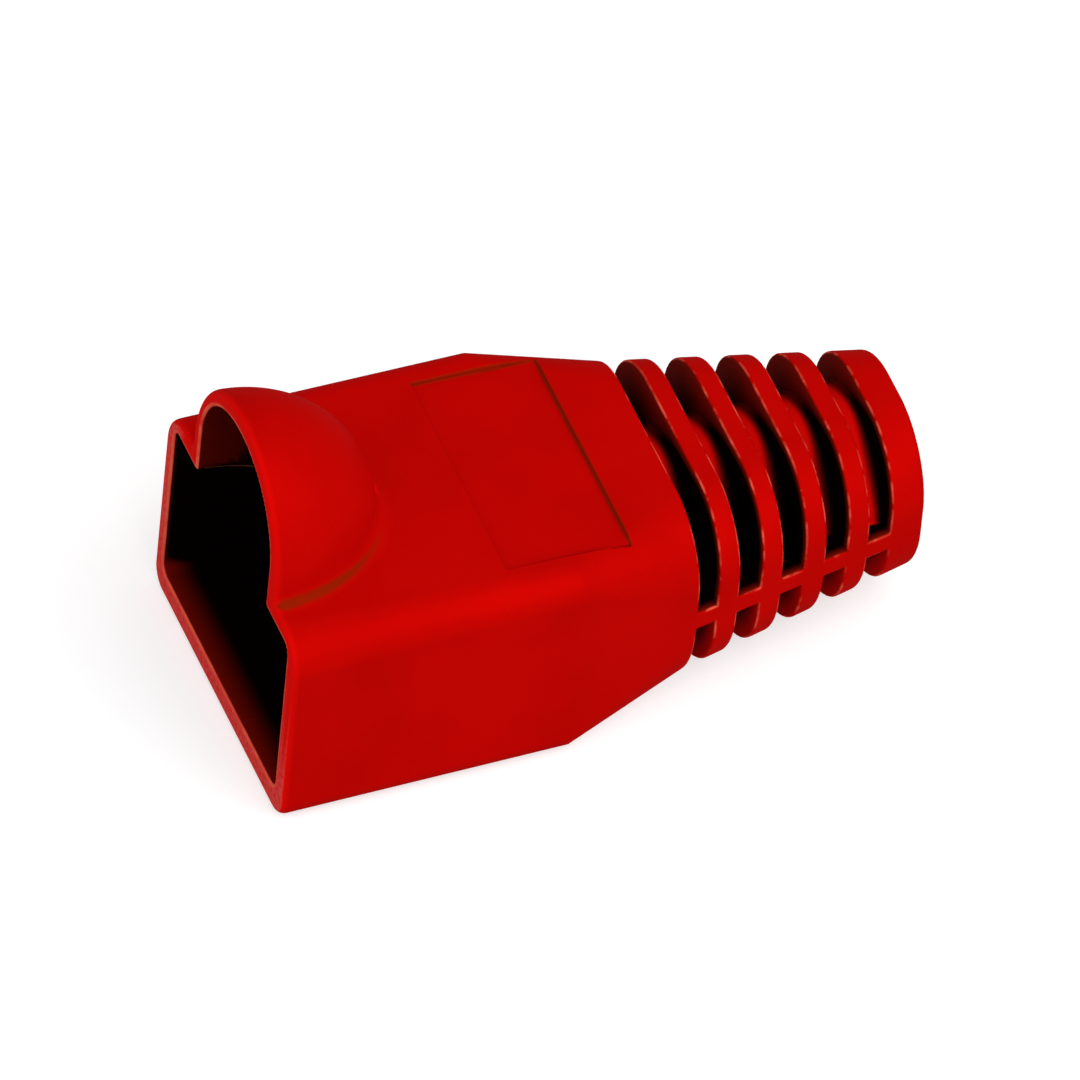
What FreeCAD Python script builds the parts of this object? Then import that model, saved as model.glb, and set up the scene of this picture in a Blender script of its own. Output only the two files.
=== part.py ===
# Strain relief boot for a modular network plug, one soft moulding.
# It is drawn with the open mouth at X = 0, the cable end along +X, Y across and Z up.
# The last step slides it so that the origin is the middle of the underside.
import FreeCAD, Part
import math
import os

os.makedirs("parts", exist_ok=True)

# ---- outer shell, straight part ----
MOUTH_WIDTH = 14.0
MOUTH_HEIGHT = 9.68
STRAIGHT_LENGTH = 12.1
STRAIGHT_END_WIDTH = 13.6
STRAIGHT_END_HEIGHT = 9.66
TOP_EDGE_RADIUS = 1.35
BOTTOM_EDGE_RADIUS = 1.0
MOUTH_BEVEL = 0.28
UNDERSIDE_TRIM = 0.02

# ---- outer shell, shoulder running in to the first slot ----
NECK_X = 17.2
NECK_WIDTH = 12.0
NECK_HEIGHT = 9.48
NECK_TOP_RADIUS = 2.95
NECK_BOTTOM_RADIUS = 4.0

# ---- outer shell, cable end ----
OVERALL_LENGTH = 27.6
END_WIDTH = 7.7
END_BOTTOM_Z = 0.93
END_TOP_Z = 9.28
END_TOP_FLAT = 1.15
END_BOTTOM_FLAT = 0.3
END_BEVEL = 0.15

# ---- latch guard on the top of the mouth ----
GUARD_HALF_WIDTH = 4.5
GUARD_LENGTH = 5.6
GUARD_BASE_LENGTH = 5.85
GUARD_SPRING_Z = 10.48
GUARD_ARCH_HEIGHT = 5.1
GUARD_WALL = 0.75
GUARD_ROOT_FLARE = 0.35

# ---- pocket for the plug ----
POCKET_MOUTH_WIDTH = 12.3
POCKET_MOUTH_TOP_Z = 9.08
POCKET_BOTTOM_Z = 1.18
POCKET_LENGTH = 12.0
POCKET_END_WIDTH = 11.9
POCKET_END_TOP_Z = 8.58
POCKET_CORNER_RADIUS = 0.5
FUNNEL_END_X = 16.4

# ---- cable bore and the tube around it ----
BORE_RADIUS = 2.9
BORE_Z = 4.98
TUBE_RADIUS = 3.45

# ---- flexing slots ----
SLOT_COUNT = 5
SLOT_PITCH = 1.96
SLOT_GAP_OUTSIDE = 1.08
SLOT_GAP_INSIDE = 0.92
WEB_HEIGHT = 0.9
WEB_THICKNESS = 0.8
SMALLEST_SIDE_POCKET = 0.5

# ---- recessed label panel on the top ----
PANEL_FRONT_X = 9.4
PANEL_BACK_X = 14.55
PANEL_WIDTH = 10.4
PANEL_FRONT_FLOOR_Z = 9.32
PANEL_BACK_FLOOR_Z = 9.12


def point(x, y, z):
    return FreeCAD.Vector(x, y, z)


def rounded_wire(x, width, z_low, z_high, r_low, r_high):
    """Closed outline square to X with its own lower and upper corner radii."""
    half = width / 2.0
    s = math.sqrt(0.5)
    low = r_low * (1.0 - s)
    high = r_high * (1.0 - s)
    a = point(x, -half + r_low, z_low)
    b = point(x, half - r_low, z_low)
    c = point(x, half, z_low + r_low)
    d = point(x, half, z_high - r_high)
    e = point(x, half - r_high, z_high)
    f = point(x, -half + r_high, z_high)
    g = point(x, -half, z_high - r_high)
    h = point(x, -half, z_low + r_low)
    edges = [
        Part.makeLine(a, b),
        Part.Arc(b, point(x, half - low, z_low + low), c).toShape(),
        Part.makeLine(c, d),
        Part.Arc(d, point(x, half - high, z_high - high), e).toShape(),
        Part.makeLine(e, f),
        Part.Arc(f, point(x, -half + high, z_high - high), g).toShape(),
        Part.makeLine(g, h),
        Part.Arc(h, point(x, -half + low, z_low + low), a).toShape(),
    ]
    return Part.Wire(edges)


def polygon_prism(corners, along):
    return Part.Face(Part.makePolygon(corners + corners[:1])).extrude(along)


def span(first, second):
    return Part.makeLoft([first, second], True, True)


def mouth_outline(x, inset):
    return rounded_wire(x, MOUTH_WIDTH - 2.0 * inset, inset - UNDERSIDE_TRIM, MOUTH_HEIGHT - inset,
                        BOTTOM_EDGE_RADIUS - inset, TOP_EDGE_RADIUS - inset)


def straight_end_outline():
    return rounded_wire(STRAIGHT_LENGTH, STRAIGHT_END_WIDTH, -UNDERSIDE_TRIM, STRAIGHT_END_HEIGHT,
                        BOTTOM_EDGE_RADIUS, TOP_EDGE_RADIUS)


def neck_outline():
    return rounded_wire(NECK_X, NECK_WIDTH, -UNDERSIDE_TRIM, NECK_HEIGHT,
                        NECK_BOTTOM_RADIUS, NECK_TOP_RADIUS)


def end_outline(x, inset):
    """Nearly round outline, with short flats left at its top and bottom."""
    r_low = (END_WIDTH - END_BOTTOM_FLAT) / 2.0
    r_high = (END_WIDTH - END_TOP_FLAT) / 2.0
    return rounded_wire(x, END_WIDTH - 2.0 * inset, END_BOTTOM_Z + inset, END_TOP_Z - inset,
                        r_low - inset, r_high - inset)


def half_width_at(x):
    """Half width of the outer shell between the neck and the cable end."""
    share = (x - NECK_X) / (OVERALL_LENGTH - NECK_X)
    return (NECK_WIDTH + (END_WIDTH - NECK_WIDTH) * share) / 2.0


def outer_shell():
    """Five spans one after another, from the mouth's bevel to the cable end's."""
    mouth = mouth_outline(MOUTH_BEVEL, 0.0)
    shoulder = straight_end_outline()
    neck = neck_outline()
    end = end_outline(OVERALL_LENGTH - END_BEVEL, 0.0)
    spans = [span(mouth_outline(0.0, MOUTH_BEVEL), mouth), span(mouth, shoulder),
             span(shoulder, neck), span(neck, end), span(end, end_outline(OVERALL_LENGTH, END_BEVEL))]
    return spans[0].fuse(spans[1:])


def ellipse_wire(z, length, half_width):
    return Part.Wire(Part.Ellipse(point(0.0, 0.0, z), length, half_width).toShape())


def guard_ball(length, half_width, height, spring_z):
    """Ellipsoid about the point where the arch springs from its upright sides."""
    ball = Part.makeSphere(1.0)
    stretch = FreeCAD.Matrix()
    stretch.scale(length, half_width, height)
    ball = ball.transformGeometry(stretch)
    ball.translate(point(0.0, 0.0, spring_z))
    return ball


def bevelled_room(half_width, height, spring_z, reach):
    """Elliptic cone that opens backwards from the mouth, for a bevelled front edge."""
    cone = Part.makeCone(1.0 - MOUTH_BEVEL / height, 1.0 - MOUTH_BEVEL / height + reach / height,
                         reach, point(0.0, 0.0, 0.0), point(1.0, 0.0, 0.0))
    stretch = FreeCAD.Matrix()
    stretch.scale(1.0, half_width, height)
    cone = cone.transformGeometry(stretch)
    cone.translate(point(0.0, 0.0, spring_z))
    return cone


def bevelled_lane(half_width, base_z, height, reach):
    """Upright wedge that opens backwards from the mouth, for bevelled front corners."""
    front = half_width - MOUTH_BEVEL
    corners = [point(0.0, -front, base_z), point(0.0, front, base_z),
               point(reach, front + reach, base_z), point(reach, -front - reach, base_z)]
    return polygon_prism(corners, point(0.0, 0.0, height))


def guard_outer():
    """Domed guard: a flared root, a leaning half-elliptic wall and an ellipsoid on top."""
    flare_top = MOUTH_HEIGHT + GUARD_ROOT_FLARE
    lean = (GUARD_BASE_LENGTH - GUARD_LENGTH) / (GUARD_SPRING_Z - MOUTH_HEIGHT)
    at_flare = GUARD_LENGTH + lean * (GUARD_SPRING_Z - flare_top)
    sunk = MOUTH_HEIGHT - GUARD_ROOT_FLARE
    wall = span(ellipse_wire(flare_top, at_flare, GUARD_HALF_WIDTH),
                ellipse_wire(GUARD_SPRING_Z, GUARD_LENGTH, GUARD_HALF_WIDTH))
    spread = 2.0 * GUARD_ROOT_FLARE
    root = span(ellipse_wire(sunk, at_flare + spread, GUARD_HALF_WIDTH + spread),
                ellipse_wire(flare_top, at_flare, GUARD_HALF_WIDTH))
    reach = 2.0 * GUARD_LENGTH
    lane = bevelled_lane(GUARD_HALF_WIDTH, sunk, GUARD_SPRING_Z - sunk, reach)
    ball = guard_ball(GUARD_LENGTH, GUARD_HALF_WIDTH, GUARD_ARCH_HEIGHT, GUARD_SPRING_Z)
    room = bevelled_room(GUARD_HALF_WIDTH, GUARD_ARCH_HEIGHT, GUARD_SPRING_Z, reach)
    return [ball.common(room), wall.common(lane), root.common(lane)]


def guard_inner():
    """The latch space: a half dome turned about the cable direction, above a straight wall."""
    length = GUARD_LENGTH - GUARD_WALL
    radius = GUARD_HALF_WIDTH - GUARD_WALL
    spring_z = GUARD_SPRING_Z + GUARD_ARCH_HEIGHT - GUARD_WALL - radius
    centre = point(0.0, 0.0, spring_z)
    nose = point(length, 0.0, spring_z)
    side = point(0.0, radius, spring_z)
    quarter = Part.Arc(Part.Ellipse(centre, length, radius), 0.0, math.pi / 2.0).toShape()
    sector = Part.Wire([quarter, Part.makeLine(side, centre), Part.makeLine(centre, nose)])
    ball = Part.Face(sector).revolve(centre, point(1.0, 0.0, 0.0), 180.0)
    base = centre - point(0.0, 0.0, spring_z - POCKET_END_TOP_Z)
    plan = Part.Arc(Part.Ellipse(base, length, radius), -math.pi / 2.0, math.pi / 2.0).toShape()
    chord = Part.makeLine(plan.valueAt(plan.LastParameter), plan.valueAt(plan.FirstParameter))
    wall = Part.Face(Part.Wire([plan, chord])).extrude(centre - base)
    return ball.fuse(wall)


def pocket_end_outline():
    return rounded_wire(POCKET_LENGTH, POCKET_END_WIDTH, POCKET_BOTTOM_Z, POCKET_END_TOP_Z,
                        POCKET_CORNER_RADIUS, POCKET_CORNER_RADIUS)


def pocket():
    mouth = rounded_wire(0.0, POCKET_MOUTH_WIDTH, POCKET_BOTTOM_Z, POCKET_MOUTH_TOP_Z,
                         POCKET_CORNER_RADIUS, POCKET_CORNER_RADIUS)
    return span(mouth, pocket_end_outline())


def funnel():
    """Space narrowing from the pocket down to the cable bore."""
    r = BORE_RADIUS
    narrow = rounded_wire(FUNNEL_END_X, 2.0 * r, BORE_Z - r, BORE_Z + r,
                          POCKET_CORNER_RADIUS, POCKET_CORNER_RADIUS)
    return span(pocket_end_outline(), narrow)


def bore():
    start = FUNNEL_END_X - POCKET_CORNER_RADIUS
    return Part.makeCylinder(BORE_RADIUS, OVERALL_LENGTH - start + END_WIDTH,
                             point(start, 0.0, BORE_Z), point(1.0, 0.0, 0.0))


def slot_wedge(x_mid, direction):
    """Half of one slot seen along Y, narrow at mid height and wider at the outside."""
    rim = END_TOP_Z - BORE_Z
    spread = (SLOT_GAP_OUTSIDE - SLOT_GAP_INSIDE) / 2.0
    inside = SLOT_GAP_INSIDE / 2.0
    outside = inside + 2.0 * spread
    far = BORE_Z + direction * 2.0 * rim
    corners = [
        point(x_mid - inside, -MOUTH_WIDTH, BORE_Z),
        point(x_mid + inside, -MOUTH_WIDTH, BORE_Z),
        point(x_mid + outside, -MOUTH_WIDTH, far),
        point(x_mid - outside, -MOUTH_WIDTH, far),
    ]
    return polygon_prism(corners, point(0.0, 2.0 * MOUTH_WIDTH, 0.0))


def webs(x_mid):
    """The pair of bars left at mid height, one on each side."""
    inner = half_width_at(x_mid) - WEB_THICKNESS
    if inner - TUBE_RADIUS < SMALLEST_SIDE_POCKET:
        inner = TUBE_RADIUS - WEB_THICKNESS / 4.0
    start = x_mid - SLOT_GAP_OUTSIDE
    low = BORE_Z - WEB_HEIGHT / 2.0
    left = Part.makeBox(2.0 * SLOT_GAP_OUTSIDE, MOUTH_WIDTH, WEB_HEIGHT, point(start, inner, low))
    right = Part.makeBox(2.0 * SLOT_GAP_OUTSIDE, MOUTH_WIDTH, WEB_HEIGHT,
                         point(start, -inner - MOUTH_WIDTH, low))
    return [left, right]


def slot_cutters():
    """One cutter for each slot, kept clear of the cable tube and the webs."""
    cutters = []
    for index in range(SLOT_COUNT):
        x_mid = NECK_X + SLOT_GAP_OUTSIDE / 2.0 + index * SLOT_PITCH
        whole = slot_wedge(x_mid, 1.0).fuse(slot_wedge(x_mid, -1.0))
        tube = Part.makeCylinder(TUBE_RADIUS, 2.0 * SLOT_GAP_OUTSIDE,
                                 point(x_mid - SLOT_GAP_OUTSIDE, 0.0, BORE_Z), point(1.0, 0.0, 0.0))
        cutters.append(whole.cut([tube] + webs(x_mid)))
    return cutters


def panel_cutter():
    """Shallow bare recess across the step between the straight part and the shoulder."""
    side = -PANEL_WIDTH / 2.0
    above = MOUTH_HEIGHT + PANEL_WIDTH
    corners = [
        point(PANEL_FRONT_X, side, PANEL_FRONT_FLOOR_Z),
        point(PANEL_BACK_X, side, PANEL_BACK_FLOOR_Z),
        point(PANEL_BACK_X, side, above),
        point(PANEL_FRONT_X, side, above),
    ]
    return polygon_prism(corners, point(0.0, PANEL_WIDTH, 0.0))


def below_ground():
    """Everything under the flat underside."""
    return Part.makeBox(3.0 * OVERALL_LENGTH, 3.0 * MOUTH_WIDTH, MOUTH_HEIGHT,
                        point(-OVERALL_LENGTH, -1.5 * MOUTH_WIDTH, -MOUTH_HEIGHT))


def build_boot():
    body = outer_shell().fuse(guard_outer())
    body = body.cut([pocket(), funnel(), bore(), guard_inner()])
    body = body.cut(slot_cutters())
    body = body.cut([panel_cutter(), below_ground()])
    return body.removeSplitter()


def checked(shape):
    solids = shape.Solids
    if len(solids) != 1 or not solids[0].isValid():
        raise ValueError("the boot must be one valid solid, found %d" % len(solids))
    return solids[0]


boot = checked(build_boot())
boot.translate(point(-OVERALL_LENGTH / 2.0, 0.0, 0.0))
print("volume", round(boot.Volume, 1), "faces", len(boot.Faces))
print("box", boot.BoundBox)
print("centre of mass", boot.CenterOfMass)
boot.exportStep("parts/boot.step")
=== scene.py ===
# %% [markdown]
# # A red strain relief boot for a network plug
#
# The part is one soft plastic moulding: a box-shaped socket, a domed guard for the plug's latch, and
# a tapering collar whose slots let it bend with the cable. The frame brings in a plain solid of it.
# This lesson grows a soft-edged skin to stand in for that solid, and adds the look of the plastic,
# the camera, the floor and the light.

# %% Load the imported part
import math
import bpy
import numpy as np
from mathutils import Matrix, Vector


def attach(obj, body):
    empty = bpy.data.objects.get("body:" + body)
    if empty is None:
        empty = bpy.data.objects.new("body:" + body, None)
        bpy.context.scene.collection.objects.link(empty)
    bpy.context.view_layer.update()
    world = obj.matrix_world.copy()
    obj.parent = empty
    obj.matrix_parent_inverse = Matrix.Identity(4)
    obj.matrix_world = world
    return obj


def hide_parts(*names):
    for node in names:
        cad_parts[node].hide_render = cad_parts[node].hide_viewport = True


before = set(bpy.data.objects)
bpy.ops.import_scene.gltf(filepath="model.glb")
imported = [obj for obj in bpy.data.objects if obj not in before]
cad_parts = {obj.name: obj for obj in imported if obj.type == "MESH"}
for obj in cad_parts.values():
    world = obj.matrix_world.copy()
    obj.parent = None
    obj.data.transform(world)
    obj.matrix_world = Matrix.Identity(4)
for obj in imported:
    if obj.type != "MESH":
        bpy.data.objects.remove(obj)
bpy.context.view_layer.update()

MM = 0.001
print("packed nodes:", sorted(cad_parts))

# %% [markdown]
# ## The shape of the moulding
#
# A soft moulding has no sharp edge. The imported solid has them, so the part is modelled again here as
# one formula: it is negative inside the plastic, positive outside and zero on the skin. Bevels on the
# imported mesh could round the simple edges, but they fail where slots, webs and tube meet, and a
# formula rounds them all alike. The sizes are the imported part's own, in millimetres back from the
# open mouth, but for a shallower panel and a first slot that starts a little later.

# %% Name the sizes
LENGTH = 27.6
STATIONS = (0.0, 12.1, 17.2, LENGTH)  # mouth, end of the straight part, neck, cable end
HALF_WIDTHS = (7.0, 6.8, 6.0, 3.85)
LOWS = (0.0, 0.0, 0.0, 0.93)
HIGHS = (9.68, 9.66, 9.48, 9.28)
LOW_RADII = (1.0, 1.0, 4.0, 3.7)
HIGH_RADII = (1.7, 1.2, 2.95, 3.27)

GUARD_LENGTH, GUARD_HALF_WIDTH, GUARD_HEIGHT = 5.6, 4.5, 5.1
GUARD_SPRING_Z = 10.48
GUARD_LEAN = 0.31
GUARD_WALL = 0.75

POCKET_STATIONS = (0.0, 12.0, 16.4)
POCKET_HALF_WIDTHS = (6.15, 5.95, 2.9)
POCKET_LOWS = (1.18, 1.18, 2.08)
POCKET_HIGHS = (9.08, 8.58, 7.88)
POCKET_RADIUS = 0.5
BORE_RADIUS, BORE_Z, BORE_START = 2.9, 4.98, 15.9

TUBE_RADIUS = 3.45
SLOT_COUNT, SLOT_PITCH = 5, 1.96
FIRST_SLOT = 17.74
SLOT_HALF_GAP, SLOT_FLARE, NARROWER_FIRST = 0.46, 0.0186, 0.12
WEB_HALF_HEIGHT, WEB_THICKNESS, SMALLEST_SIDE_POCKET = 0.45, 0.8, 0.5

PANEL_FRONT, PANEL_BACK, PANEL_HALF_WIDTH = 9.4, 14.55, 5.2
PANEL_FLOORS = (9.5, 9.36)

MOUTH_EDGE, END_EDGE, ROOT_BLEND = 0.4, 0.25, 0.6
RIM_EDGE, SLOT_EDGE, PANEL_EDGE = 0.12, 0.15, 0.1
print("slots at, mm:", [round(FIRST_SLOT + SLOT_PITCH * index, 2) for index in range(SLOT_COUNT)])

# %% [markdown]
# ## Soft joins and cuts
#
# Two solids are joined with the smaller of their values and cut with the larger. A soft smaller or
# larger adds a little near the edge where the two are equal, which rounds a rim or fills a corner.


# %% Write the soft joins
def soft_max(a, b, reach):
    """max(a, b) + max(reach - |a - b|, 0)^2 / (4 reach): a cut whose edge is rounded over the reach."""
    near = np.maximum(reach - np.abs(a - b), 0.0)
    return np.maximum(a, b) + near * near / (4.0 * reach)


def soft_min(a, b, reach):
    """-soft_max(-a, -b): a join whose inner corner is filled over the reach."""
    return -soft_max(-a, -b, reach)


print("the mouth's corner loses, mm:", round(float(soft_max(0.0, 0.0, MOUTH_EDGE)), 3))

# %% [markdown]
# ## The outside
#
# The outside is a box-shaped bar that tapers to the cable end, with a domed guard for the plug's latch
# on its mouth. The bar is a rounded rectangle whose sizes change along it, and the guard is half an
# egg on short upright walls. Both could be lofted and merged as meshes, but a soft join also gives the
# smooth foot that the guard has.


# %% Write the outside
def rounded_bar(y, z, half, low, high, r_low, r_high):
    """Distance to a bar's outline, |max(q, 0)| + min(max(q), 0) - r with q = |p| - half size + r."""
    middle = (low + high) / 2.0
    r = np.where(z > middle, r_high, r_low)
    across = np.abs(y) - half + r
    along = np.abs(z - middle) - (high - low) / 2.0 + r
    outside = np.hypot(np.maximum(across, 0.0), np.maximum(along, 0.0))
    return outside + np.minimum(np.maximum(across, along), 0.0) - r


def egg(x, y, z, a, b, c):
    """Nearly the distance to an ellipsoid: k (k - 1) / |p / s^2| with k = |p / s| and s = (a, b, c)."""
    k = np.sqrt((x / a) ** 2 + (y / b) ** 2 + (z / c) ** 2) + 1e-9
    slope = np.sqrt((x / a ** 2) ** 2 + (y / b ** 2) ** 2 + (z / c ** 2) ** 2) + 2e-10
    return k * (k - 1.0) / slope


def hull(x, y, z, soft):
    """The tapering bar joined to the domed guard, cut square at the mouth and at the cable end."""
    rows = (HALF_WIDTHS, LOWS, HIGHS, LOW_RADII, HIGH_RADII)
    bar = rounded_bar(y, z, *(np.interp(x, STATIONS, row) for row in rows))
    length = GUARD_LENGTH + GUARD_LEAN * np.maximum(GUARD_SPRING_Z - z, 0.0)
    guard = egg(x, y, np.maximum(z - GUARD_SPRING_Z, 0.0), length, GUARD_HALF_WIDTH, GUARD_HEIGHT)
    guard = np.maximum(guard, HIGHS[0] / 2.0 - z)
    whole = soft_min(bar, guard, soft * ROOT_BLEND)
    whole = soft_max(whole, -x, soft * MOUTH_EDGE)
    return soft_max(whole, x - LENGTH, soft * END_EDGE)


print("bore's line to the outside, half way, mm:", round(float(-hull(LENGTH / 2.0, 0.0, BORE_Z, 1.0)), 2))

# %% [markdown]
# ## The inside
#
# A plug slides into a box-shaped pocket, and its latch into the room under the guard. The pocket
# narrows like a funnel into the round bore for the cable. They are cut from the outside as one space,
# so no thin wall is left where they meet.


# %% Write the inside
def plug_space(x, y, z):
    """The plug's pocket, narrowing at its back into the cable bore."""
    rows = (POCKET_HALF_WIDTHS, POCKET_LOWS, POCKET_HIGHS)
    sizes = [np.interp(x, POCKET_STATIONS, row) for row in rows]
    pocket = rounded_bar(y, z, *sizes, POCKET_RADIUS, POCKET_RADIUS)
    pocket = np.maximum(pocket, x - POCKET_STATIONS[-1])
    bore = np.maximum(np.hypot(y, z - BORE_Z) - BORE_RADIUS, BORE_START - x)
    return np.minimum(pocket, bore)


def latch_space(x, y, z):
    """The room under the guard for the plug's latch, open to the pocket below it."""
    radius = GUARD_HALF_WIDTH - GUARD_WALL
    spring = GUARD_SPRING_Z + GUARD_HEIGHT - GUARD_WALL - radius
    latch = egg(x, y, np.maximum(z - spring, 0.0), GUARD_LENGTH - GUARD_WALL, radius, radius)
    return np.maximum(latch, POCKET_HIGHS[1] - z)


print("wall beside the plug, mm:", round(HALF_WIDTHS[0] - POCKET_HALF_WIDTHS[0], 2))

# %% [markdown]
# ## The slots and the panel
#
# Five slots round the collar let it bend. Each is a thin slice that widens away from the bore, keeps
# off the cable tube in the middle, and leaves a web on each side that holds the rings together. The
# panel is a shallow bare recess in the top. One formula for the nearest slot cuts all five at once.


# %% Write the slots and the panel
def slots(x, y, z):
    """|x - middle| - gap for the nearest slot, kept clear of the cable tube and of the two webs."""
    index = np.clip(np.round((x - FIRST_SLOT) / SLOT_PITCH), 0, SLOT_COUNT - 1)
    middle = FIRST_SLOT + SLOT_PITCH * index
    rise = np.abs(z - BORE_Z)
    half_gap = SLOT_HALF_GAP + SLOT_FLARE * rise
    gap = np.maximum(middle - half_gap + NARROWER_FIRST * (index == 0) - x, x - middle - half_gap)
    tube = np.hypot(y, z - BORE_Z) - TUBE_RADIUS
    inner = np.interp(middle, STATIONS, HALF_WIDTHS) - WEB_THICKNESS
    closed = inner - TUBE_RADIUS < SMALLEST_SIDE_POCKET
    inner = np.where(closed, TUBE_RADIUS - WEB_THICKNESS / 4.0, inner)
    web = np.maximum(rise - WEB_HALF_HEIGHT, inner - np.abs(y))
    return np.maximum(np.maximum(gap, -tube), -web)


def panel(x, y, z):
    """The shallow bare recess, over a floor that falls a little towards the cable end."""
    floor_z = np.interp(x, (PANEL_FRONT, PANEL_BACK), PANEL_FLOORS)
    sides = np.maximum(np.maximum(PANEL_FRONT - x, x - PANEL_BACK), np.abs(y) - PANEL_HALF_WIDTH)
    return np.maximum(sides, floor_z - z)


def moulding(x, y, z, soft=1.0):
    """The hull with the cavity, the slots and the panel cut out. A soft near zero leaves every edge sharp."""
    cavity = soft_min(plug_space(x, y, z), latch_space(x, y, z), soft * RIM_EDGE)
    solid = soft_max(hull(x, y, z, soft), -cavity, soft * RIM_EDGE)
    solid = soft_max(solid, -slots(x, y, z), soft * SLOT_EDGE)
    return soft_max(solid, -panel(x, y, z), soft * PANEL_EDGE)


print("plastic above the plug, mm:", round(HIGHS[0] - POCKET_HIGHS[0], 2))

# %% [markdown]
# ## From formula to mesh
#
# The formula is read on a fine grid. Each grid cell that the skin crosses gets one point, and each
# grid line that it crosses gets one quad round it. A Remesh modifier would lose the thin webs, and
# Boolean cuts would bring the sharp edges back.

# %% Read the formula on a grid
GRID_PITCH = 0.12
GRID_MARGIN = 0.3


def grid_axis(low, high):
    """Evenly pitched places from low to high with a margin: low - margin + i pitch."""
    count = int(math.ceil((high - low + 2.0 * GRID_MARGIN) / GRID_PITCH)) + 1
    return low - GRID_MARGIN + GRID_PITCH * np.arange(count)


def crossed_cells(values):
    """Indices of the cells with corners both under and over zero."""
    inside = values < 0.0
    a, b, c = (size - 1 for size in values.shape)
    corners = sum(inside[i:a + i, j:b + j, k:c + k].astype(np.int8)
                  for i in (0, 1) for j in (0, 1) for k in (0, 1))
    return np.argwhere((corners > 0) & (corners < 8))


def cell_points(values, cells):
    """Each cell's mean of its edge crossings, start + v0 / (v0 - v1) step, in grid steps."""
    total = np.zeros((len(cells), 3))
    hits = np.zeros(len(cells))
    for step in np.eye(3, dtype=int):
        others = [row for row in np.ndindex(2, 2, 2) if np.dot(row, step) == 0]
        for corner in others:
            start = cells + corner
            first = values[tuple(start.T)]
            last = values[tuple((start + step).T)]
            crossed = (first < 0.0) != (last < 0.0)
            share = np.where(crossed, first / np.where(crossed, first - last, 1.0), 0.0)
            total += crossed[:, None] * (start + share[:, None] * step)
            hits += crossed
    return total / hits[:, None]


def cell_quads(values, cells):
    """One quad round every crossed grid line, wound so that it faces out of the plastic."""
    number = np.full(values.shape, -1)
    number[tuple(cells.T)] = np.arange(len(cells))
    inside = values < 0.0
    steps = np.eye(3, dtype=int)
    quads = []
    for axis in range(3):
        side, rise = steps[(axis + 1) % 3], steps[(axis + 2) % 3]
        changes = np.argwhere(np.diff(inside.astype(np.int8), axis=axis) != 0)
        ring = np.stack([number[tuple((changes - shift).T)]
                         for shift in (0 * side, side, side + rise, rise)], axis=1)
        outward = inside[tuple(changes.T)]
        quads.append(np.where(outward[:, None], ring, ring[:, ::-1]))
    return np.concatenate(quads)


print("grid steps along the part:", len(grid_axis(0.0, LENGTH)))

# %% [markdown]
# ## Exact points and normals
#
# Grid points lie only near the skin. They are pushed on to it along the formula's slope, and the same
# slope gives each point its exact normal, so that small rounded edges shade cleanly.

# %% Push the points on to the skin
LEAST_SLOPE = 0.05  # keeps a step short where two surfaces meet


def slope(points, step=0.01):
    """The formula's gradient by central differences, (f(p + h) - f(p - h)) / 2h on each axis."""
    columns = []
    for axis in np.eye(3):
        ahead, behind = points + step * axis, points - step * axis
        columns.append((moulding(*ahead.T) - moulding(*behind.T)) / (2.0 * step))
    return np.stack(columns, axis=1)


def onto_skin(points, rounds=4):
    """Newton steps p - f g / |g|^2 along the gradient g, and the unit normal g / |g| where they end."""
    for _ in range(rounds):
        gradient = slope(points)
        square = np.maximum((gradient ** 2).sum(axis=1), LEAST_SLOPE)
        move = moulding(*points.T) / square
        points = points - np.clip(move, -GRID_PITCH, GRID_PITCH)[:, None] * gradient
    gradient = slope(points)
    return points, gradient / np.linalg.norm(gradient, axis=1)[:, None]


def mesh_points(mesh):
    """All vertex places of a mesh as one array of rows."""
    places = np.empty(3 * len(mesh.vertices))
    mesh.vertices.foreach_get("co", places)
    return places.reshape(-1, 3)


on_mouth, _ = onto_skin(np.array([[0.2, 0.0, 0.1]]))
print("a point near the mouth's lower lip moves to, mm:", on_mouth[0].round(3).tolist())

# %% [markdown]
# ## The skin
#
# The grid makes far more quads than the flats need, so a Decimate modifier thins them before the
# points take their last step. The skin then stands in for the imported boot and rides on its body.

# %% Grow the skin
SKIN_TRIANGLES = 190000


def grow_skin():
    """The whole moulding as one thinned mesh object, and its points in millimetres from the mouth."""
    x = grid_axis(0.0, LENGTH)
    y = grid_axis(-HALF_WIDTHS[0], HALF_WIDTHS[0])
    z = grid_axis(0.0, GUARD_SPRING_Z + GUARD_HEIGHT)
    values = moulding(x[:, None, None], y[None, :, None], z[None, None, :])
    cells = crossed_cells(values)
    points = np.array([x[0], y[0], z[0]]) + GRID_PITCH * cell_points(values, cells)
    points, _ = onto_skin(points, rounds=2)
    quads = cell_quads(values, cells)
    mesh = bpy.data.meshes.new("boot_skin")
    mesh.from_pydata(points.tolist(), [], quads.tolist())
    skin = bpy.data.objects.new("boot_skin", mesh)
    bpy.context.scene.collection.objects.link(skin)
    thin = skin.modifiers.new("thin", "DECIMATE")
    thin.ratio = min(1.0, SKIN_TRIANGLES / (2.0 * len(quads)))
    graph = bpy.context.evaluated_depsgraph_get()
    skin.data = bpy.data.meshes.new_from_object(skin.evaluated_get(graph), depsgraph=graph)
    skin.modifiers.clear()
    mesh = skin.data
    mesh.name = "boot_skin"
    points, normals = onto_skin(mesh_points(mesh))
    places = (points - np.array([LENGTH / 2.0, 0.0, 0.0])) * MM
    mesh.vertices.foreach_set("co", places.ravel())
    mesh.polygons.foreach_set("use_smooth", np.ones(len(mesh.polygons), dtype=bool))
    mesh.normals_split_custom_set_from_vertices(normals.tolist())
    mesh.update()
    return skin, points


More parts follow.
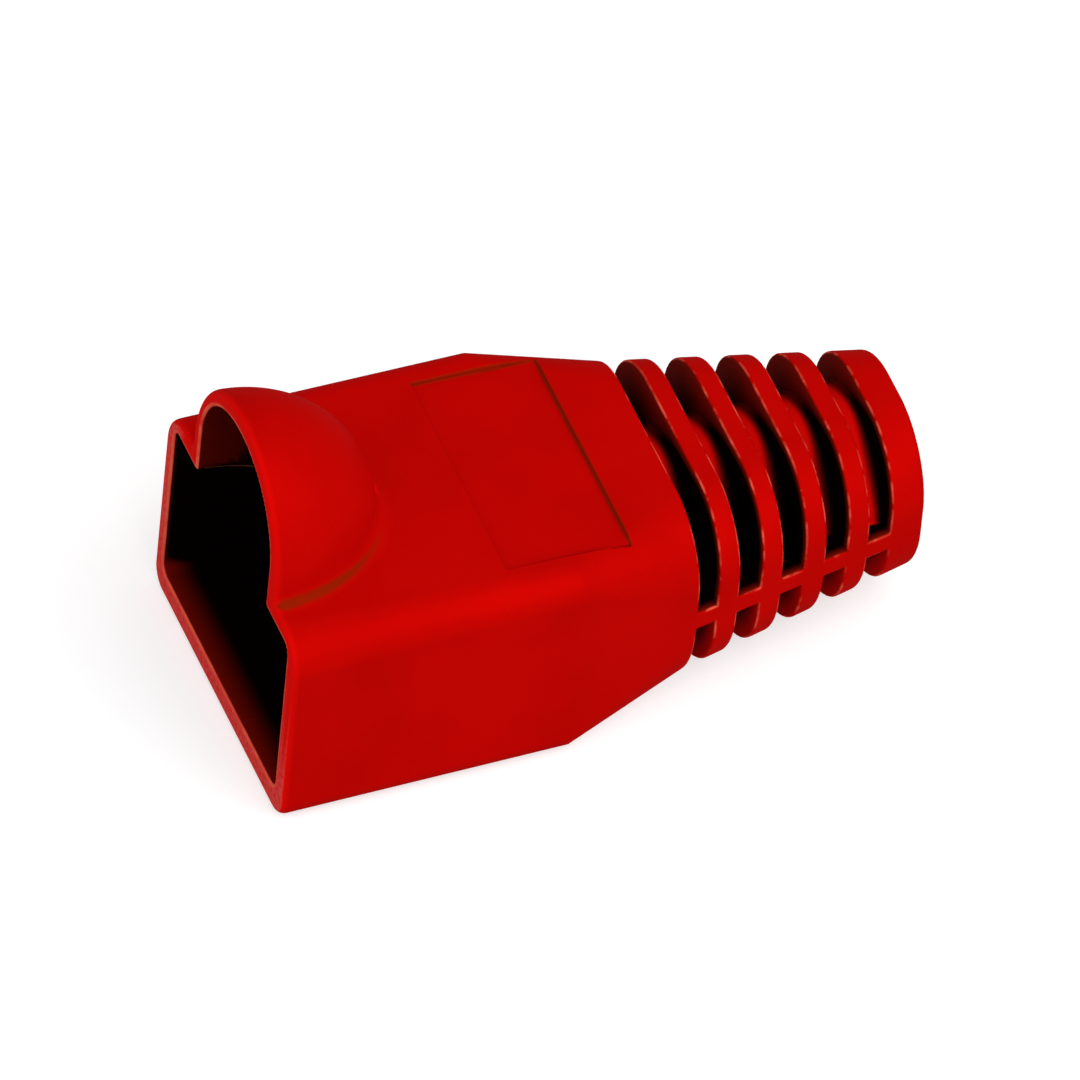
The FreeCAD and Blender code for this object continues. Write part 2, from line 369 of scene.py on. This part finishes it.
skin, points = grow_skin()
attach(skin, "root")
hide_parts("boot")
print("skin faces:", len(skin.data.polygons))

# %% [markdown]
# ## What the plastic needs to know
#
# Light hardly reaches the bottom of the pocket and the slots, and thin edges look paler than flats.
# That shade and those highlights are painted into the colour, so the material has to know where
# these are. Plain distances in millimetres ride on the mesh's points: they run evenly from point to
# point, so the material can draw a fine, clean line or a soft shade from them anywhere between the
# points. A painted image would need a map and could never be as fine.

# %% Write the distances
SHARP = 1e-3  # an edge rounding too small to see
TOUCHING = 0.05  # this near to a surface counts as on it
SLOTS_START = 16.9  # just ahead of the first slot
SLOT_MOUTH_DEPTH = 0.4  # edges of slots lie no deeper than this
LEDGE_DEPTH = 0.3  # and the latch space's edge no shallower than this
FAR_OFF = 99.0  # so large that no line is drawn on the way to it
WEB_SHADOW = (BORE_Z - 0.6, BORE_Z - 0.3)  # heights between which the open pockets start
OPEN_POCKET_SHARE = 0.09  # depth counts this little in them
# Inside the pocket, the shade at the mouth and what each millimetre adds.
FLOOR_SHADE, WALL_SHADE, LATCH_SHADE = (0.15, 0.55), (0.55, 1.2), (0.48, 0.08)
NEAR_SLOT_SHADE, FAR_SLOT_SHADE, BORE_SHADE = 2.0, 0.32, 0.35


def ramp(value, low, high):
    """Smooth step, 3t^2 - 2t^3 with t = (value - low) / (high - low) kept within 0 and 1."""
    t = np.clip((value - low) / (high - low), 0.0, 1.0)
    return t * t * (3.0 - 2.0 * t)


def rim_side(x, y, z):
    """hull + cavity: 0 on the inner edge of the mouth, one sign on either side of it."""
    cavity = np.minimum(plug_space(x, y, z), latch_space(x, y, z))
    return np.where(x < SLOTS_START, hull(x, y, z, SHARP) + cavity, FAR_OFF)


def slot_side(x, y, z):
    """hull + slots: 0 on the outer edges of the slots, one sign on either side; far off it elsewhere."""
    outside = hull(x, y, z, SHARP)
    side = np.where(x < SLOTS_START, FAR_OFF, outside + slots(x, y, z))
    return np.where(outside < -SLOT_MOUTH_DEPTH, -FAR_OFF, side)


def ledge_side(x, y, z):
    """latch - pocket: 0 on the edge where the latch space opens into the pocket; far off it elsewhere."""
    inside = hull(x, y, z, 1.0) < -LEDGE_DEPTH
    return np.where(inside, latch_space(x, y, z) - plug_space(x, y, z), FAR_OFF)


def inside_depth(x, y, z):
    """Depth below the uncut hull; 0 on the panel, and less in the open pockets below the webs."""
    depth = np.where(np.abs(panel(x, y, z)) < TOUCHING, 0.0, -hull(x, y, z, 1.0))
    in_slot = (x > POCKET_STATIONS[-1]) & (np.abs(plug_space(x, y, z)) > TOUCHING)
    below_web = (1.0 - ramp(z, *WEB_SHADOW)) * in_slot
    return depth * (1.0 - (1.0 - OPEN_POCKET_SHARE) * below_web)


def way_in(x, y, z):
    """How dark it is: start + growth x in the pocket, by its floor, walls and latch space; a share of
    the depth in the slots, and of the distance from the cable end in the bore."""
    depth = inside_depth(x, y, z)
    floor, latch = 1.0 - ramp(z, 1.3, 2.0), ramp(z, 9.0, 9.3)
    wall = 1.0 - floor - latch
    start, growth = (a * floor + b * wall + c * latch
                     for a, b, c in zip(FLOOR_SHADE, WALL_SHADE, LATCH_SHADE))
    pocket = start + growth * x
    slot = depth * (NEAR_SLOT_SHADE + (FAR_SLOT_SHADE - NEAR_SLOT_SHADE) * ramp(y, -2.0, 2.0))
    behind = np.where(np.abs(plug_space(x, y, z)) < TOUCHING, BORE_SHADE * (LENGTH - x), slot)
    return np.where(x < POCKET_STATIONS[-1], np.minimum(pocket, 9.0 * depth), behind)


def off_tube(x, y, z):
    """|distance from the bore's line - tube radius| behind the pocket, and more than 1 elsewhere."""
    return np.abs(np.hypot(y, z - BORE_Z) - TUBE_RADIUS) + 2.0 * (x < POCKET_STATIONS[-1])


def slot_shade(x, y, z):
    """Distance ahead of the slot's back wall, in shares of the slot's depth there."""
    index = np.clip(np.round((x - FIRST_SLOT) / SLOT_PITCH), 0, SLOT_COUNT - 1)
    back = FIRST_SLOT + SLOT_PITCH * index + SLOT_HALF_GAP + SLOT_FLARE * np.abs(z - BORE_Z)
    return (back - x) / np.maximum(inside_depth(x, y, z), 0.2)


def panel_shade_line(x, y, z):
    """Distance from the panel's back edge and far edge, seen from above, where painted shade lines go."""
    ahead = np.hypot(PANEL_BACK - x, np.maximum(np.abs(y) - PANEL_HALF_WIDTH, 0.0))
    beside = np.hypot(y - PANEL_HALF_WIDTH, np.maximum(PANEL_FRONT - x, np.maximum(x - PANEL_BACK, 0.0)))
    return np.minimum(ahead, beside) + 2.0 * (z < 9.0)


# %% Measure the skin
def store(name, values):
    """One number for each point of the skin, under a name that the material can read."""
    layer = skin.data.attributes.new(name, "FLOAT", "POINT")
    layer.data.foreach_set("value", values)


x, y, z = points.T
filled = moulding(x, y, z, soft=SHARP)
store("rim_side", rim_side(x, y, z))
store("slot_side", slot_side(x, y, z))
store("ledge_side", ledge_side(x, y, z))
# painted shade in the guard's near foot
store("crease_shade", filled * ramp(-y, 1.0, 3.5) * (1.0 - 0.5 * ramp(x, 1.0, 5.0)))
# painted highlight along the guard's far foot
store("painted_highlight", filled * ramp(y, -1.0, 1.0))
store("depth", inside_depth(x, y, z))
store("way_in", way_in(x, y, z))
store("off_tube", off_tube(x, y, z))
store("slot_shade", slot_shade(x, y, z))
store("panel_shade_line", panel_shade_line(x, y, z))
store("from_mouth", x)
store("low_or_far", np.maximum(ramp(-z, -2.2, -1.4), ramp(y, 5.0, 6.0)))
print("deepest point below the outside, mm:", round(float(inside_depth(x, y, z).max()), 2))

# %% [markdown]
# ## The camera
#
# A long lens from a metre and a half away keeps parallel edges almost parallel. The camera stands in
# front of the mouth and to one side, looks down on the part and is turned a few degrees about its own
# line of sight. A Track To constraint can't give that last turn, so its place is worked out from the
# three angles.

# %% Place the camera
AZIMUTH = math.radians(-25.29)
ELEVATION = math.radians(45.84)
ROLL = math.radians(5.865)
CAMERA_DISTANCE = 1.4286
LENS_MM = 1228.8
AIM_RIGHT = -0.819 * MM
AIM_UP = -0.218 * MM
PART_MIDDLE = Vector((0.2, 0.0, 4.98)) * MM


def camera_axes(azimuth, elevation, roll):
    """Unit vectors: the camera's own right and up, and the one from the part back to the camera."""
    back = Vector((math.sin(azimuth) * math.cos(elevation),
                   -math.cos(azimuth) * math.cos(elevation), math.sin(elevation)))
    level = Vector((math.cos(azimuth), math.sin(azimuth), 0.0))
    upright = back.cross(level)
    right = math.cos(roll) * level + math.sin(roll) * upright
    up = math.cos(roll) * upright - math.sin(roll) * level
    return right, up, back


right, up, back = camera_axes(AZIMUTH, ELEVATION, ROLL)
aim = PART_MIDDLE + AIM_RIGHT * right + AIM_UP * up
camera_data = bpy.data.cameras.new("camera")
camera_data.lens = LENS_MM
camera_data.clip_start = 0.1
camera_data.clip_end = 50.0
camera = bpy.data.objects.new("camera", camera_data)
bpy.context.scene.collection.objects.link(camera)
turn = Matrix((right, up, back)).transposed().to_4x4()
camera.matrix_world = Matrix.Translation(aim + CAMERA_DISTANCE * back) @ turn
bpy.context.scene.camera = camera
print("camera stands at, m:", [round(value, 3) for value in camera.matrix_world.translation])

# %% [markdown]
# ## The plastic
#
# Soft red PVC has a matt skin of one even colour, a little cloudy. Light and shade are painted over
# it: pale highlights along the edges, broken up like rubbing; a paler trimmed face at the mouth,
# partly its matt cut and partly a painted sheen; brown painted shade in fine creases and on faces
# inside; and painted shade going nearly black where light hardly reaches.
# One base colour is laid first, and each of the others goes over it by a stored distance.

# %% Choose the colours
RED = (0.56, 0.0016, 0.0007, 1.0)  # the bare moulding
CLOUDY_RED = (0.5, 0.0013, 0.0006, 1.0)  # its cloudy patches
HIGHLIGHT_RED = (0.9, 0.003, 0.002, 1.0)  # painted highlight on the guard's far foot, and painted light on the cable tube where light falls in
MOUTH_HIGHLIGHT_RED = (0.78, 0.003, 0.002, 1.0)  # painted light on the mouth's face and its rounded outer edge
PALE_EDGE_HIGHLIGHT = (0.85, 0.11, 0.06, 1.0)  # painted highlight along the inner edge of the mouth, broken up like scuffing
RUB_AND_HIGHLIGHT = (0.85, 0.1, 0.06, 1.0)  # painted highlight along the edges of the slots, partly wear, broken up like rubbing
LEDGE_HIGHLIGHT_TAN = (0.25, 0.06, 0.02, 1.0)  # painted highlight on the edge between the pocket and the latch space
TRIMMED_AND_SHEEN = (0.78, 0.075, 0.065, 1.0)  # the mouth's trimmed face, paler partly for its matt cut and partly as a painted sheen
CREASE_SHADE_BROWN = (0.27, 0.011, 0.0005, 1.0)  # painted shade in the guard's near foot
PANEL_SHADE_BROWN = (0.28, 0.009, 0.0005, 1.0)  # painted shade along the panel's back and far edges
INSIDE_SHADE_BROWN = (0.2, 0.005, 0.001, 1.0)  # painted shade on every face inside
DEEP_BROWN = (0.003, 0.0008, 0.0003, 1.0)  # where light hardly reaches
print("base red:", RED[:3])


# %% Write the helpers for the nodes
def new_material(name):
    """An empty node material, its nodes and its links."""
    material = bpy.data.materials.new(name)
    material.use_nodes = True
    return material, material.node_tree.nodes, material.node_tree.links


def share(nodes, links, name, low, high):
    """Output socket of a stored distance as a smooth step, 0 at low and 1 at high."""
    node = nodes.new("ShaderNodeAttribute")
    node.attribute_name = name
    step = nodes.new("ShaderNodeMapRange")
    step.interpolation_type = "SMOOTHSTEP"
    step.inputs["From Min"].default_value = min(low, high)
    step.inputs["From Max"].default_value = max(low, high)
    step.inputs["To Min"].default_value = float(low > high)
    step.inputs["To Max"].default_value = float(low < high)
    links.new(node.outputs["Fac"], step.inputs["Value"])
    return step.outputs["Result"]


def noise(nodes, links, place, scale, detail, low, high):
    """Output socket of a noise in Object coordinates, stretched from low..high to 0..1."""
    texture = nodes.new("ShaderNodeTexNoise")
    texture.inputs["Scale"].default_value = scale
    texture.inputs["Detail"].default_value = detail
    links.new(place.outputs["Object"], texture.inputs["Vector"])
    stretch = nodes.new("ShaderNodeMapRange")
    stretch.inputs["From Min"].default_value = low
    stretch.inputs["From Max"].default_value = high
    links.new(texture.outputs["Fac"], stretch.inputs["Value"])
    return stretch.outputs["Result"]


def combined(nodes, links, operation, a, b):
    """Output socket of one Math operation on two sockets, or on a number and a socket."""
    node = nodes.new("ShaderNodeMath")
    node.operation = operation
    if isinstance(a, float):
        node.inputs[0].default_value = a
    else:
        links.new(a, node.inputs[0])
    links.new(b, node.inputs[1])
    return node.outputs["Value"]


def towards(nodes, links, colour, other, amount):
    """Output socket of a colour that goes over to another one by an amount from 0 to 1."""
    mix = nodes.new("ShaderNodeMix")
    mix.data_type = "RGBA"
    if isinstance(colour, tuple):
        mix.inputs["A"].default_value = colour
    else:
        links.new(colour, mix.inputs["A"])
    mix.inputs["B"].default_value = other
    links.new(amount, mix.inputs["Factor"])
    return mix.outputs["Result"]


# %% [markdown]
# ## Layers of colour
#
# Noise in Object coordinates breaks the layers up, so that no line looks drawn: clouds of a few
# millimetres in the red, specks on the trimmed face, and gaps like scuffing and rubbing in the
# painted highlights along the mouth and the slots. The slots' painted dark is left off the lit part of
# the cable tube, where the light falls straight in, and that part is painted brighter. The shader has
# no mirror-like gloss, only a faint metallic share, which keeps the sheen red.

# %% Lay the colours
plastic, nodes, links = new_material("soft_red_pvc")
shader = nodes["Principled BSDF"]
shader.inputs["Roughness"].default_value = 0.42
shader.inputs["Specular IOR Level"].default_value = 0.0
shader.inputs["Metallic"].default_value = 0.08
place = nodes.new("ShaderNodeTexCoord")
cloud = noise(nodes, links, place, 260.0, 3.0, 0.6, 0.25)
specks = noise(nodes, links, place, 5000.0, 2.0, 0.2, 0.65)
scuffs_and_glints = noise(nodes, links, place, 900.0, 3.0, 0.25, 0.6)
rubs_and_glints = noise(nodes, links, place, 1100.0, 4.0, 0.46, 0.66)
blotches = noise(nodes, links, place, 500.0, 3.0, 0.1, 0.5)


def lay(colour, other, *shares):
    """The colour gone over to another one by the product of some shares, so that it needs them all."""
    product = shares[0]
    for one in shares[1:]:
        product = combined(nodes, links, "MULTIPLY", product, one)
    return towards(nodes, links, colour, other, product)


def stored(name, low, high):
    """Share of the plastic's own stored distance, 0 at low and 1 at high."""
    return share(nodes, links, name, low, high)


# Painted light: where light falls straight into a slot, the cable tube is painted brighter and kept clear of
# the painted shade.
lit_tube = combined(nodes, links, "MULTIPLY", stored("off_tube", 0.12, 0.03), stored("slot_shade", 0.08, 0.5))
lit_tube = combined(nodes, links, "MULTIPLY", lit_tube, stored("depth", 2.5, 1.8))
unlit = combined(nodes, links, "SUBTRACT", 1.0, lit_tube)
colour = towards(nodes, links, RED, CLOUDY_RED, cloud)
# painted highlight along the guard's far foot
colour = lay(colour, HIGHLIGHT_RED, stored("painted_highlight", 0.02, 0.12))
# painted shade along the panel's back and far edges
colour = lay(colour, PANEL_SHADE_BROWN, stored("panel_shade_line", 0.1, 0.03))
# painted light on the mouth's face and its rounded outer edge
colour = lay(colour, MOUTH_HIGHLIGHT_RED, stored("from_mouth", 0.35, 0.02))
# painted shade in the guard's near foot
colour = lay(colour, CREASE_SHADE_BROWN, stored("crease_shade", 0.004, 0.09), blotches)
# painted light on the cable tube
colour = lay(colour, HIGHLIGHT_RED, lit_tube)
# the trimmed face: partly its matt cut, partly a painted sheen
colour = lay(colour, TRIMMED_AND_SHEEN, stored("from_mouth", 0.09, 0.03), stored("low_or_far", 0.0, 1.0), specks)
# painted shade on faces inside, going nearly black where light hardly reaches
colour = lay(colour, INSIDE_SHADE_BROWN, stored("depth", 0.02, 0.1), unlit)
colour = lay(colour, DEEP_BROWN, stored("way_in", 0.1, 0.9), unlit)
# painted highlight along the mouth's inner edge, broken up like scuffing
colour = lay(colour, PALE_EDGE_HIGHLIGHT, stored("rim_side", -0.08, -0.02), stored("rim_side", 0.2, 0.1), scuffs_and_glints)
# painted highlight along the slots' edges, partly wear
colour = lay(colour, RUB_AND_HIGHLIGHT, stored("slot_side", -0.1, -0.03), stored("slot_side", 0.1, 0.03), rubs_and_glints)
# painted highlight on the ledge's edge inside the pocket
colour = lay(colour, LEDGE_HIGHLIGHT_TAN, stored("ledge_side", -0.12, -0.04), stored("ledge_side", 0.12, 0.04))
links.new(colour, shader.inputs["Base Color"])
print("colour nodes:", len(nodes))

# %% [markdown]
# ## Grain
#
# The mould leaves a very fine grain, far smaller than the mesh could carry. A bump of a few hundredths
# of a millimetre is enough, because it never shows in the outline.

# %% Add the grain
grain = nodes.new("ShaderNodeTexNoise")
grain.inputs["Scale"].default_value = 9000.0
grain.inputs["Detail"].default_value = 2.0
links.new(place.outputs["Object"], grain.inputs["Vector"])
bump = nodes.new("ShaderNodeBump")
bump.inputs["Strength"].default_value = 0.2
bump.inputs["Distance"].default_value = 0.02 * MM
links.new(grain.outputs["Fac"], bump.inputs["Height"])
links.new(bump.outputs["Normal"], shader.inputs["Normal"])
skin.data.materials.append(plastic)
print("material:", plastic.name)

# %% [markdown]
# ## The floor
#
# The part lies on a plain pale sheet, a hair under its underside so that the two never share a plane.
# The sheet is white to the camera alone. The light that it gives back to the part is set apart, so the
# part is lit softly and the shadow under it stays.

# %% Lay the floor
scene = bpy.context.scene
scene.view_settings.view_transform = "Standard"


def square_sheet(name, half, z):
    """One flat square: x and y run over a two by two grid from -half to half, at one height."""
    x, y = np.meshgrid([-half, half], [-half, half])
    places = np.stack([x, y, np.full_like(x, z)], axis=-1).reshape(-1, 3)
    mesh = bpy.data.meshes.new(name)
    mesh.from_pydata(places.tolist(), [], [(0, 1, 3, 2)])
    sheet = bpy.data.objects.new(name, mesh)
    scene.collection.objects.link(sheet)
    return sheet


FLOOR_HALF, FLOOR_DROP = 3.0, 0.01 * MM
floor = square_sheet("floor", FLOOR_HALF, -FLOOR_DROP)
floor_white, nodes, links = new_material("floor_white")
nodes.remove(nodes["Principled BSDF"])
output = nodes["Material Output"]
seen = nodes.new("ShaderNodeBsdfDiffuse")
seen.inputs["Color"].default_value = (0.65, 0.65, 0.65, 1.0)
glow = nodes.new("ShaderNodeEmission")
glow.inputs["Strength"].default_value = 0.55
paper = nodes.new("ShaderNodeAddShader")
links.new(seen.outputs["BSDF"], paper.inputs[0])
links.new(glow.outputs["Emission"], paper.inputs[1])
unseen = nodes.new("ShaderNodeBsdfDiffuse")
unseen.inputs["Color"].default_value = (0.5, 0.5, 0.5, 1.0)
rays = nodes.new("ShaderNodeLightPath")
choice = nodes.new("ShaderNodeMixShader")
links.new(rays.outputs["Is Camera Ray"], choice.inputs["Fac"])
links.new(unseen.outputs["BSDF"], choice.inputs[1])
links.new(paper.outputs["Shader"], choice.inputs[2])
links.new(choice.outputs["Shader"], output.inputs["Surface"])
floor.data.materials.append(floor_white)
print("floor, m across:", 2.0 * FLOOR_HALF)

# %% [markdown]
# ## The light
#
# A large softbox stands high on the near side and a second one fills the mouth from the front. A dim
# white world lifts the rest. Strong small lamps would burn streaks into the dome and the rings.

# %% Light the part
world = bpy.data.worlds.new("world")
scene.world = world
world.use_nodes = True
nodes, links = world.node_tree.nodes, world.node_tree.links
background = nodes["Background"]
background.inputs["Color"].default_value = (1.0, 1.0, 1.0, 1.0)
rays = nodes.new("ShaderNodeLightPath")
level = nodes.new("ShaderNodeMapRange")
level.inputs["To Min"].default_value = 0.45
level.inputs["To Max"].default_value = 1.0
links.new(rays.outputs["Is Camera Ray"], level.inputs["Value"])
links.new(level.outputs["Result"], background.inputs["Strength"])


def softbox(name, direction, distance, size, watts):
    """A square lamp that faces the part's middle from one direction."""
    lamp_data = bpy.data.lights.new(name, "AREA")
    lamp_data.size = size
    lamp_data.energy = watts
    lamp = bpy.data.objects.new(name, lamp_data)
    scene.collection.objects.link(lamp)
    away = Vector(direction).normalized()
    lamp.location = PART_MIDDLE + distance * away
    lamp.rotation_mode = "QUATERNION"
    lamp.rotation_quaternion = away.to_track_quat("Z", "Y")
    return lamp


softbox("key_softbox", (0.3, -0.66, 0.73), 0.6, 0.7, 2.8)
softbox("fill_softbox", (-0.9, -0.5, 0.5), 0.6, 0.8, 1.5)
